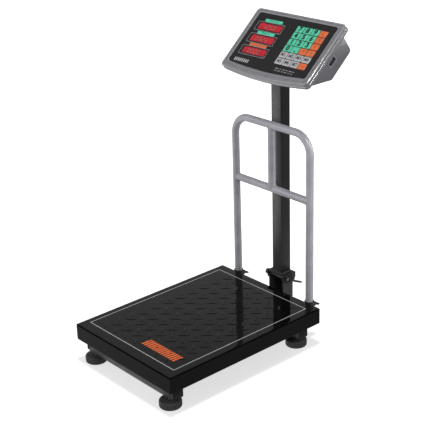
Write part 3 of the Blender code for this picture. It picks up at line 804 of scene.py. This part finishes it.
# ---------------------------------------------------------------- guard rail
def guard_rail():
    low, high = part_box("rail_hoop")
    cross_z = middle_of("rail_cross_bar").z
    y = (low.y + high.y) / 2
    radius = (high.y - low.y) / 2
    leg = high.x - radius
    top = high.z - radius
    bend = 0.040
    steps = 22

    def corner(side):
        points = []
        for step in range(steps + 1):
            angle = math.pi / 2 * step / steps
            x = leg - bend + bend * math.cos(angle)
            points.append(Vector((side * x, y, top - bend + bend * math.sin(angle))))
        return points

    def rail_tube(name, path, node):
        settle(tube(f"rail_{name}_tube", path, radius, RAIL_PAINT, 36), "guard_rail", [node])

    levels = [low.z + (top - bend - low.z) * step / 8 for step in range(8)]
    left = [Vector((-leg, y, level)) for level in levels]
    right = [Vector((leg, y, level)) for level in reversed(levels)]
    rail_tube("hoop", left + corner(-1) + list(reversed(corner(1))) + right, "rail_hoop")
    end = leg - 1 * MM
    rail_tube("cross", straight(Vector((-end, y, cross_z)), Vector((end, y, cross_z)), 12), "rail_cross_bar")
    rail_tube("centre", straight(Vector((0, y, cross_z)), Vector((0, y, top)), 8), "rail_centre_bar")

    reach = radius + 0.15 * MM
    weld_steps = 44

    def saddle_weld(name, place):
        """A bead where two tubes meet; place turns (along, across, rise) into a point."""
        path = []
        for step in range(weld_steps):
            angle = 2 * math.pi * step / weld_steps
            across = reach * math.sin(angle)
            rise = math.sqrt(max(reach ** 2 - across ** 2, 0))
            path.append(Vector(place(reach * math.cos(angle), y + across, rise)))
        settle(bead(f"rail_{name}_weld", path, 1.2 * MM, RAIL_PAINT), "guard_rail")

    for name, side in (("left", -1), ("right", 1)):
        saddle_weld(name, lambda along, across, rise: (side * (leg - rise), across, cross_z + along))
    for name, level, sign in (("lower", cross_z, 1), ("upper", top, -1)):
        saddle_weld(f"{name}_centre", lambda along, across, rise: (along, across, level + sign * rise))


def rail_sockets():
    for side in ("left", "right"):
        finish_node(f"rail_socket_{side}", BLACK_STEEL)
        turn = joint(f"rail_screw_{side}_turn")
        axis = Vector(turn["axis"])
        low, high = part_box(f"rail_screw_{side}")
        start = Vector((turn["pos_m"][0], low.y, turn["pos_m"][2]))
        matrix = turned_to(axis, start)
        length = high.y - low.y
        knob = wing_knob(f"rail_screw_{side}_knob", length, (high.x - low.x) / 2, matrix)
        settle(knob, f"rail_screw_{side}", [f"rail_screw_{side}"])


def wing_knob(name, length, reach, matrix):
    """A screw with a collar and two rounded wings."""
    bm = bmesh.new()
    collar = length - 13.2 * MM
    shaft = 2.9 * MM
    profile = [(shaft * 0.8, 0), (shaft, 0.5 * MM), (shaft, collar)]
    for radius, level in ((4.9, 0), (5.4, 0.5), (5.4, 4.2), (4.6, 5.4), (3.2, 6.4), (2.0, 8.2)):
        profile.append((radius * MM, collar + level * MM))
    skin(bm, [circle(radius, 32, level) for radius, level in profile])
    for side in (-1, 1):
        rings = []
        for step in range(9):
            share = step / 8
            x = side * (1.0 * MM + (reach - 1.0 * MM) * share)
            spread = (3.6 + 1.1 * math.sin(math.pi * share)) * MM * (1 - 0.45 * max(share - 0.8, 0) / 0.2)
            thick = 1.75 * MM * (1 - 0.35 * share) * (1 - 0.5 * max(share - 0.85, 0) / 0.15)
            level = length - 4.7 * MM + 0.2 * MM * share
            ring = [Vector((x, thick * point.y, level + spread * point.x)) for point in circle(1, 24)]
            rings.append(ring)
        skin(bm, rings)
    return body_from(name, bm, BLACK_PLASTIC, matrix, 40.0)


# ---------------------------------------------------------------- column and its hinge
def column():
    # The bracket takes the lightened black: painted light on its sides.
    finish_node("column_bracket", BRACKET_PAINTED_LIGHT)
    for name in ("column_foot", "pole_socket"):
        finish_node(name, BLACK_STEEL)
    finish_node("column_tube", COLUMN_STEEL)
    low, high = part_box("column_tube")
    plate_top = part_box("column_foot")[1].z
    middle = (low + high) / 2
    half = (high.x - low.x) / 2 + 0.4 * MM
    outline = rounded_rectangle(half, half, 2.6 * MM, 4, (middle.x, middle.y))
    path = resampled(outline, 1.7 * MM, plate_top + 0.3 * MM)
    settle(bead("column_weld", path, 1.5 * MM, BLACK_STEEL), "column")

    arm_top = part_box("column_arm")[1].z
    bracket_low, bracket_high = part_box("column_bracket")
    for side_name, x in (("left", bracket_low.x * 0.9), ("right", bracket_high.x * 0.9)):
        ends = ((x, bracket_low.y + 2 * MM, arm_top), (x, bracket_high.y - 2 * MM, arm_top))
        straight_weld(f"bracket_{side_name}", *ends, 18, BLACK_STEEL, "black_steel")
    hinge_bolts()


def resampled(outline, spacing, level):
    """Evenly spaced points round a closed outline."""
    points = [Vector((x, y, level)) for x, y in outline]
    made = []
    carry = 0.0
    for first, second in zip(points, points[1:] + points[:1]):
        length = (second - first).length
        while carry < length:
            made.append(first.lerp(second, carry / length))
            carry += spacing
        carry -= length
    return made


def hinge_bolts():
    """The pivot bolt with a nut on each side, and the clamp bolt with its head, hub and handle."""
    shaft_radius = 4 * MM
    low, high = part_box("pivot_bolt")
    middle = (low + high) / 2
    rings = [circle(shaft_radius, 24, level) for level in (low.x + 2 * MM, high.x - 2 * MM)]
    shaft = loft("pivot_bolt_shaft", rings, BLACK_STEEL, turned_to((1, 0, 0), (0, middle.y, middle.z)))
    settle(shaft, "base", ["pivot_bolt"])
    inner = 25.8 * MM
    washer = (6.4 * MM, 1.0 * MM)
    for name, side in (("left", -1), ("right", 1)):
        matrix = turned_to((side, 0, 0), (side * inner, middle.y, middle.z))
        nut = hexagon_head(f"pivot_nut_{name}", 10.6 * MM, 3.8 * MM, BLACK_STEEL, matrix, washer)
        settle(nut, "base")

    clamp = Vector(joint("clamp_lever_turn")["pos_m"])
    rings = [circle(shaft_radius, 24, level) for level in (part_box("clamp_lever")[0].x + 1 * MM, 30 * MM)]
    shaft = loft("clamp_bolt_shaft", rings, BLACK_STEEL, turned_to((1, 0, 0), clamp))
    settle(shaft, "clamp_lever", ["clamp_lever"])
    profile = [(radius * MM, level * MM) for radius, level in (
        (6.2, 0.0), (6.2, 8.9), (6.0, 9.5), (5.5, 9.9), (4.1, 9.9), (3.9, 9.6), (3.9, 8.6), (0.0, 8.6))]
    matrix = turned_to((-1, 0, 0), clamp - Vector((inner, 0, 0)))
    settle(lathe("clamp_bolt_head", profile, BLACK_STEEL, matrix), "clamp_lever")
    matrix = turned_to((1, 0, 0), clamp + Vector((inner, 0, 0)))
    hub = hexagon_head("clamp_hub", 10.7 * MM, 7.9 * MM, BLACK_STEEL, matrix, (6.3 * MM, 1.0 * MM))
    settle(hub, "clamp_lever")
    spans = 16
    path = straight(clamp + Vector((inner + 4.5 * MM, 0, 0)), clamp + Vector((0.0630, 0.0058, 0.0039)), spans)

    def taper(step):
        share = step / spans
        tip = max(share - 0.8, 0)
        return (2.4 - 12 * tip ** 2) * MM * (1 - 0.08 * share)

    settle(tube("clamp_handle", path, taper, BLACK_STEEL, 20), "clamp_lever")


# ---------------------------------------------------------------- head
def face_outline(half, low, high, corner, bow):
    """A rounded rectangle as (x, v), whose lower edge bulges by the bow."""
    corner_steps = 7
    points = []

    def turn(middle_x, middle_v, start):
        for step in range(corner_steps + 1):
            angle = math.radians(start + 90 * step / corner_steps)
            points.append(Vector((middle_x + corner * math.cos(angle), middle_v + corner * math.sin(angle))))

    turn(half - corner, high - corner, 0)
    turn(-half + corner, high - corner, 90)
    turn(-half + corner, low + corner, 180)
    span = half - corner
    steps = 28
    for step in range(1, steps):
        x = -span + 2 * span * step / steps
        points.append(Vector((x, low - bow * (1 - (x / span) ** 2))))
    turn(half - corner, low + corner, 270)
    return points


def lid():
    """The upper shell: border, seat, side with its parting groove, underside and inner walls."""
    outer = face_outline(LID_HALF, 0, LID_LENGTH, LID_CORNER, LID_BOW)
    seat = face_outline(PANEL_HALF + 0.2 * MM, PANEL_LOW - 0.2 * MM, PANEL_HIGH + 0.2 * MM, 5 * MM, PANEL_BOW)
    mouth = face_outline(HOUSING_HALF - 0.5 * MM, 0.0103, 0.1317, 2 * MM, 0)
    border = (LID_HALF - PANEL_HALF) / MM - 0.2

    def ring(inward, n):
        """The outline at a distance in millimetres towards the seat, at a depth in millimetres."""
        share = inward / border
        return [Vector((*first.lerp(second, share), n * MM)) for first, second in zip(outer, seat)]

    profile = [(border, -1.7), (border - 1.5, -0.2), (border - 1.9, 0.0), (8.3, 0.0), (8.1, -0.08),
               (7.95, -1.0), (7.05, -1.0), (6.9, -0.42), (6.6, -0.36), (3.8, -0.42), (2.2, -0.5), (2.0, -0.6),
               (0.3, -2.3), (0.2, -2.9), (0.3, -3.4), (1.3, -4.2), (1.5, -4.8), (1.5, -7.6), (1.3, -8.3),
               (0.2, -9.0), (0.0, -9.8), (0.0, -13.4), (0.3, -14.8), (0.9, -15.6), (1.9, -16.0)]
    rings = [ring(*point) for point in profile]
    rings.append([Vector((*point, -16.0 * MM)) for point in mouth])
    rings.append([Vector((*point, -13.4 * MM)) for point in mouth])
    rings += [ring(3.4, -13.4), ring(3.4, -4.4)]
    shell = loft("lid_shell", rings, HOUSING, FACE, sharp=42.0)
    settle(shell, "column", ["head_lid"])


def panel():
    finish_node("panel_overlay", PANEL_FILM)
    finish_node("display_board", BOARD)
    finish_node("battery", BLACK_PLASTIC)
    line = 0.8 * MM
    top = PANEL_TOP
    line_top = top + 0.12 * MM
    label_top = top + 0.20 * MM
    filter_top = top + 0.22 * MM
    middle_x = sum(DISPLAY_X) / 2
    half_x = (DISPLAY_X[1] - DISPLAY_X[0]) / 2
    half_v = DISPLAY_HEIGHT / 2
    for index, (v, reading) in enumerate(zip(DISPLAY_V, ("0.000", "08.26", "12.50"))):
        middle_v = v + half_v
        outer = rounded_rectangle(half_x, half_v, 2 * MM, 5, (middle_x, middle_v))
        inner = rounded_rectangle(half_x - line, half_v - line, 1.4 * MM, 5, (middle_x, middle_v))
        for piece in (
                outline_ring(f"display_{index}_outline", outer, inner, top, line_top, GREY_PRINT, FACE),
                slab(f"display_{index}_filter", half_x - 6.2 * MM, half_v - 3.8 * MM, 1 * MM, top, filter_top,
                     RED_WINDOW, FACE, (middle_x + 2.2 * MM, middle_v), 0.08 * MM),
                seven_segments(f"display_{index}_digits", reading, middle_x, middle_v, filter_top)):
            settle(piece, "column")
    labels = (("TOTAL", 0.0622, ORANGE, RUST_PRINT), ("PRICE / kg", 0.0925, MINT, DARK_PRINT),
              ("WEIGHT kg", 0.1238, MINT, DARK_PRINT))
    for index, (words, v, look, ink) in enumerate(labels):
        for piece in (
                slab(f"display_{index}_label", 24.5 * MM, 3.4 * MM, 0.6 * MM, top, label_top, look, FACE,
                     (LABEL_X, v), 0.06 * MM),
                letters(f"display_{index}_words", words, 3.4 * MM, ink, LABEL_X, v, label_top, squeeze=1.15)):
            settle(piece, "column")
    panel_marks()


def panel_marks():
    """Plain bars where a name would stand, and short dashes under the keypad."""
    marks = []
    for index in range(8):
        marks.append((-0.0925 + index * 0.0053, 0.0218, 1.45 * MM, 3.9 * MM))
    for v, lengths in ((0.0222, (9, 4, 7, 5, 8, 4)), (0.0172, (7, 6, 4, 8, 5, 5))):
        x = 0.024
        for length in lengths:
            marks.append((x + length * MM / 2, v, length * MM / 2, 0.55 * MM))
            x += (length + 3) * MM
    bm = bmesh.new()
    low, high = PANEL_TOP, PANEL_TOP + 0.12 * MM
    for x, v, half_x, half_v in marks:
        outline = rounded_rectangle(half_x, half_v, 0.4 * MM, 3, (x, v))
        skin(bm, [lifted(outline, low), lifted(outline, high)])
    settle(body_from("panel_marks", bm, PALE_PRINT, FACE), "column")


SEGMENTS = {"0": "abcdef", "1": "bc", "2": "abged", "3": "abgcd", "4": "fgbc", "5": "afgcd", "6": "afgedc",
            "7": "abc", "8": "abcdefg", "9": "abcfgd"}


def seven_segments(name, reading, x, v, base):
    """Digits built from seven bars each, as on a display module, centred on (x, v)."""
    height = 9.6 * MM
    width = 5.2 * MM
    bar = 1.15 * MM
    pitch = 9.4 * MM
    lean = 0.1
    half = height / 2
    right, upper = width / 2, half / 2
    strokes = {"a": (0, half, 1), "d": (0, -half, 1), "g": (0, 0, 1), "b": (right, upper, 0),
               "c": (right, -upper, 0), "f": (-right, upper, 0), "e": (-right, -upper, 0)}
    bm = bmesh.new()
    digits = [c for c in reading if c != "."]
    start = -(len(digits) - 1) / 2 * pitch
    index = -1
    for character in reading:
        if character == ".":
            dot_x = x + start + index * pitch + width / 2 + 2.0 * MM
            outline = [(dot_x + p.x, v - half + p.y) for p in circle(0.75 * MM, 12)]
            skin(bm, [lifted(outline, base), lifted(outline, base + 0.06 * MM)])
            continue
        index += 1
        for stroke in SEGMENTS[character]:
            dx, dv, flat = strokes[stroke]
            long = (width if flat else half) / 2 - bar * 0.35
            thin = bar / 2
            shape = [(-long, 0), (-long + thin, -thin), (long - thin, -thin), (long, 0), (long - thin, thin),
                     (-long + thin, thin)]
            if not flat:
                shape = [(-p[1], p[0]) for p in shape]
            outline = []
            for along, up in shape:
                outline.append((x + start + index * pitch + dx + along + (dv + up) * lean, v + dv + up))
            skin(bm, [lifted(outline, base), lifted(outline, base + 0.06 * MM)])
    return body_from(name, bm, DIGIT_PRINT, FACE)


KEY_ROWS = ((("key_7", "7"), ("key_8", "8"), ("key_9", "9"), ("key_clear", "C")),
            (("key_4", "4"), ("key_5", "5"), ("key_6", "6"), ("key_tare", "T")),
            (("key_1", "1"), ("key_2", "2"), ("key_3", "3"), ("key_zero", "0")),
            (("key_0", "0"), ("key_point", "."), ("key_light", "*"), ("key_total", "=")),
            (("key_m1", "M1"), ("key_m2", "M2"), ("key_m3", "M3"), ("key_m4", "M4")),
            (("key_m5", "M5"), ("key_m6", "M6"), ("key_m7", "M7"), ("key_add", "+")))


ORANGE_KEYS = ("key_clear", "key_tare", "key_zero", "key_light", "key_total", "key_add")


def keys():
    for row, names in enumerate(KEY_ROWS):
        for place, (name, mark) in enumerate(names):
            if name.startswith("key_m"):
                look, height, ink, weight, squeeze = PALE_KEY, 7.4 * MM, DARK_PRINT, 0.26 * MM, 0.95
            elif name in ORANGE_KEYS:
                look, height, ink, weight, squeeze = ORANGE, 6.4 * MM, RUST_PRINT, 0.10 * MM, 1.0
            else:
                look, height, ink, weight, squeeze = MINT, 10.6 * MM, DARK_PRINT, 0.78 * MM, 1.12
            finish_node(name, look)
            x = KEY_7_X + place * KEY_PITCH_X
            v = KEY_7_V - row * KEY_PITCH_V
            settle(letters(f"{name}_mark", mark, height, ink, x, v, 0.0, weight, squeeze), name)


def rear_housing():
    finish_node("head_rear_housing", HOUSING_DARK, 40.0)
    finish_node("battery_door", HOUSING_DARK)

    def on_back(x, v):
        """The place of a piece that stands out of the housing's back."""
        return FACE @ Matrix.Translation((x, v, HOUSING_BACK)) @ Matrix.Rotation(math.pi, 4, "X")

    door_middle = -20 * MM
    for index in range(5):
        place = on_back(door_middle, 0.105 + index * 2.2 * MM)
        rib = slab(f"battery_door_rib_{index}", 9 * MM, 0.5 * MM, 0.5 * MM, -0.5 * MM, 0.55 * MM,
                   HOUSING_DARK, place, edge=0.25 * MM)
        settle(rib, "battery_door")
    corners = ((-0.109, 0.116), (0.109, 0.116), (-0.109, 0.064), (0.109, 0.064))
    for index, (x, v) in enumerate(corners):
        settle(cross_screw(f"housing_screw_{index}", 3.2 * MM, ZINC, on_back(x, v)), "column")
    switch()


def switch():
    """The bezel round the switch's slot, and the rocker in it."""
    pivot = FACE.inverted() @ Vector(joint("power_switch_rock")["pos_m"])
    outwards = Matrix(((0, 0, 1, 0), (1, 0, 0, 0), (0, 1, 0, 0), (0, 0, 0, 1)))
    side = FACE @ Matrix.Translation((HOUSING_HALF, pivot.y, pivot.z)) @ outwards
    profile = ((12.8, 8.1, -0.6), (12.8, 8.1, 0.5), (12.5, 7.8, 0.9), (11.6, 6.9, 1.1), (9.9, 5.2, 1.1),
               (9.4, 4.7, 0.8), (9.4, 4.7, -3.0), (12.0, 7.4, -3.0))
    rings = []
    for half_v, half_n, level in profile:
        rings.append(lifted(rounded_rectangle(half_v * MM, half_n * MM, 1.8 * MM, 6), level * MM))
    bezel = loft("switch_bezel", rings, HOUSING, side, closed=True)
    settle(bezel, "column")

    rings = []
    half_v, half_n = 8.3 * MM, 4.1 * MM
    dish = 0.9 * MM
    tilt = Matrix.Rotation(math.radians(6), 4, "Y")
    for inset, level in ((1.4, -2.6), (0.8, -1.6), (0.0, 1.0), (0.25, 1.5), (0.8, 1.7)):
        ring = []
        for u, w in rounded_rectangle(half_v - inset * MM, half_n - inset * MM, 0.9 * MM, 4):
            rise = dish * (u / half_v) ** 2 if level > 1.2 else 0.0
            ring.append(Vector((u, w, level * MM + rise - dish)))
        rings.append(ring)
    rocker_place = side @ Matrix.Translation((0, 0, -2.6 * MM)) @ tilt
    rocker = loft("switch_rocker", rings, SWITCH_PLASTIC, rocker_place)
    settle(rocker, "power_switch", ["power_switch"])


# ---------------------------------------------------------------- floor, lights and camera
def floor():
    half = 45.0
    corners = ((-half, -half, 0), (half, -half, 0), (half, half, 0), (-half, half, 0))
    mesh = bpy.data.meshes.new("floor")
    mesh.from_pydata(corners, [], [(0, 1, 2, 3)])
    look = Look("floor_paper", (0.50, 0.50, 0.505), 0.9, Specular_IOR_Level=0.0, Emission_Color=(1, 1, 1, 1))
    look.tint(look.noise(3.0, 2), 0.01)
    # Painted shade: the floor glows less near the scale, 0.69 within 0.45 m of the middle up to 1.1 beyond
    # 0.95 m, on top of the real shadow from the floor light.
    from_middle = look.node("ShaderNodeVectorMath", {0: look.place}, operation="LENGTH").outputs["Value"]
    look.set("Emission Strength", look.spread(from_middle, 0.69, 1.1, 0.45, 0.95))
    obj = new_object("floor", mesh, look.material, WORLD)
    obj.visible_glossy = False
    obj.visible_diffuse = False


def sky():
    """A studio surround: brightest below and to the front left, dim at mid height, white to the camera."""
    world = bpy.data.worlds.new("studio")
    bpy.context.scene.world = world
    world.use_nodes = True
    world.node_tree.nodes.clear()
    wiring = Nodes(world.node_tree)
    place = wiring.node("ShaderNodeTexCoord").outputs["Generated"]
    height = wiring.node("ShaderNodeSeparateXYZ", {0: place}).outputs[2]
    ramp = wiring.node("ShaderNodeValToRGB", {0: wiring.spread(height, 0, 1, -1, 1)})
    stops = ((-1.0, 0.90), (-0.65, 0.75), (-0.50, 0.40), (-0.42, 0.24), (-0.2, 0.25), (0.0, 0.34),
             (0.22, 0.36), (0.44, 0.32), (0.62, 0.20), (0.8, 0.26), (1.0, 0.40))
    elements = ramp.color_ramp.elements
    while len(elements) > 1:
        elements.remove(elements[-1])
    for index, (level, value) in enumerate(stops):
        position = (level + 1) / 2
        element = elements[0] if index == 0 else elements.new(position)
        element.position = position
        element.color = (value, value, value * 1.02, 1)

    front_left = Vector((-0.70, -0.66, -0.26)).normalized()
    facing = wiring.node("ShaderNodeVectorMath", {0: place, 1: front_left}, operation="DOT_PRODUCT")
    lobe = wiring.spread(facing.outputs["Value"], 0.0, 0.9, 0.55, 1.0, interpolation_type="SMOOTHSTEP")
    total = wiring.node("ShaderNodeVectorMath", {0: ramp.outputs[0], 1: lobe}, operation="ADD").outputs[0]
    surround = wiring.node("ShaderNodeBackground", {0: total}).outputs[0]
    backdrop = wiring.node("ShaderNodeBackground", {0: (1, 1, 1, 1)}).outputs[0]
    to_camera = wiring.node("ShaderNodeLightPath").outputs["Is Camera Ray"]
    either = wiring.node("ShaderNodeMixShader", {0: to_camera, 1: surround, 2: backdrop}).outputs[0]
    wiring.node("ShaderNodeOutputWorld", {0: either})


def softbox(name, direction, distance, size, power, receivers, diffuse=True):
    """An area light that looks at the middle of the scale and lights the receivers."""
    target = (cad_low + cad_high) / 2
    light = bpy.data.lights.new(name, "AREA")
    light.shape = "RECTANGLE"
    light.size = size[0]
    light.size_y = size[1]
    light.energy = power
    obj = bpy.data.objects.new(name, light)
    bpy.context.scene.collection.objects.link(obj)
    direction = Vector(direction).normalized()
    obj.location = target + direction * distance
    obj.rotation_mode = "QUATERNION"
    obj.rotation_quaternion = direction.to_track_quat("Z", "Y")
    obj.light_linking.receiver_collection = receivers
    obj.visible_diffuse = diffuse
    obj.visible_camera = False
    return obj


def linked(name, objects, state):
    """A group for light linking, whose objects are all included or all excluded."""
    group = bpy.data.collections.new(name)
    for index, obj in enumerate(objects):
        group.objects.link(obj)
        group.collection_objects[index].light_linking.link_state = state
    return group


def pieces_on(*bodies):
    """The meshes that ride on the given bodies."""
    meshes = [obj for obj in bpy.data.objects if obj.type == "MESH" and body_of(obj)]
    return [obj for obj in meshes if body_of(obj)[0] in bodies]


def lights():
    ground = bpy.data.objects["floor"]
    tube_piece = bpy.data.objects["column_tube"]
    enamelled = [bpy.data.objects["pan_sheet"], bpy.data.objects["pan_tread"]]
    rail = pieces_on("guard_rail")
    scale_only = linked("all_but_floor", [ground], "EXCLUDE")
    no_enamel = linked("all_but_floor_and_pan", [ground, *enamelled], "EXCLUDE")
    no_column = linked("all_but_floor_and_column", [ground, tube_piece], "EXCLUDE")
    no_rail = linked("all_but_floor_and_rail", [ground, *rail], "EXCLUDE")
    enamel_only = linked("only_pan", enamelled, "INCLUDE")
    floor_only = linked("only_floor", [ground], "INCLUDE")
    column_only = linked("only_column", [tube_piece], "INCLUDE")
    feet_only = linked("only_feet", pieces_on(*FEET), "INCLUDE")
    rail_only = linked("only_rail", rail, "INCLUDE")
    low_only = linked("low_parts", pieces_on("base", "pan", *FEET), "INCLUDE")
    softbox("key_softbox", (-0.55, -0.80, 0.55), 2.6, (1.6, 1.6), 22, scale_only)
    softbox("edge_softbox", (0.68, -0.31, 0.66), 2.6, (0.8, 1.0), 15, no_column)
    softbox("glint_softbox", (0.633, -0.19, 0.75), 2.67, (0.5, 0.35), 46, no_enamel, False)
    softbox("rear_softbox", (0.66, 0.75, 0.30), 2.6, (0.8, 1.4), 24, no_column)
    softbox("foot_softbox", (0.45, -0.75, 0.35), 2.6, (0.5, 0.5), 12, feet_only)
    softbox("top_softbox", (0.0, 0.0, 1.0), 2.4, (0.45, 0.45), 18, no_enamel)
    softbox("enamel_softbox", (-0.719, 0.575, 0.393), 2.6, (2.4, 1.0), 6.5, enamel_only)
    softbox("rail_softbox", (0.95, 0.15, 0.25), 2.6, (0.6, 1.6), 26, rail_only)
    front = softbox("column_softbox", (-0.72, -0.66, -0.12), 2.6, (1.6, 2.2), 20, column_only)
    front.light_linking.blocker_collection = no_rail
    overhead = softbox("floor_softbox", (0.0, 0.0, 1.0), 2.4, (0.40, 0.40), 60, floor_only)
    overhead.light_linking.blocker_collection = low_only


def camera():
    """The photograph's view: a long lens from the front right, above the pan."""
    azimuth = math.radians(49.278)
    elevation = math.radians(22.254)
    roll = math.radians(-1.839)
    data = bpy.data.cameras.new("camera")
    data.lens = 93.33
    data.sensor_width = 36.0
    obj = bpy.data.objects.new("camera", data)
    bpy.context.scene.collection.objects.link(obj)
    back = Vector((math.sin(azimuth) * math.cos(elevation), -math.cos(azimuth) * math.cos(elevation),
                   math.sin(elevation)))
    obj.location = (1.53036, -1.33140, 1.12428)
    obj.rotation_mode = "QUATERNION"
    obj.rotation_quaternion = back.to_track_quat("Z", "Y") @ Quaternion((0, 0, 1), roll)
    bpy.context.scene.camera = obj


pan()
lower_frame()
feet()
guard_rail()
rail_sockets()
column()
lid()
panel()
keys()
rear_housing()
floor()
sky()
lights()
camera()
bpy.context.scene.view_settings.view_transform = "Standard"
